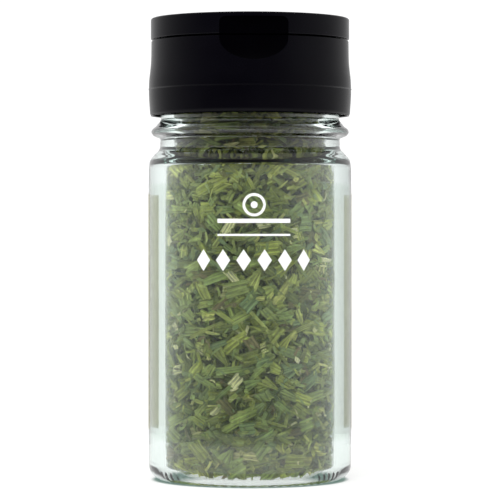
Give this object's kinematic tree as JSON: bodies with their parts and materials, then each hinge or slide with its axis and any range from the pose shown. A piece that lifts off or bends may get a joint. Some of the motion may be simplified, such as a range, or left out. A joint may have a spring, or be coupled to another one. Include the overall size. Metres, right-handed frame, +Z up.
{
  "type": "jar of dried chives",
  "caption": "Round clear-glass spice jar filled with chopped dried chives, with a screw-on black flip-top sifter cap and a wrapped film label.",
  "frame": {"origin": "on the jar's axis, on the surface that it stands on", "axes": "+Z up along the jar's axis, -Y towards the thumb notch, +Y towards the lid's hinge"},
  "size_m": [0.0454, 0.0452, 0.1024],
  "materials": {
    "glass": "clear, smooth, faintly green",
    "black_plastic": "satin moulded polypropylene",
    "label": "thin film, clear at the front, beige panel round the back",
    "chives": "dry, matt, papery"
  },
  "bodies": {
    "jar": {"glass_jar": "glass", "cap_body": "black_plastic", "living_hinge": "black_plastic", "label_film": "label", "dried_chives": "chives"},
    "lid": {"flip_lid": "black_plastic"}
  },
  "joints": [
    {"name": "lid_hinge", "type": "hinge", "parent": "jar", "child": "lid", "pos_m": [0, 0.02145, 0.09757], "axis": [-1, 0, 0], "range_deg": [0, 130], "deforming": ["living_hinge"]}
  ]
}
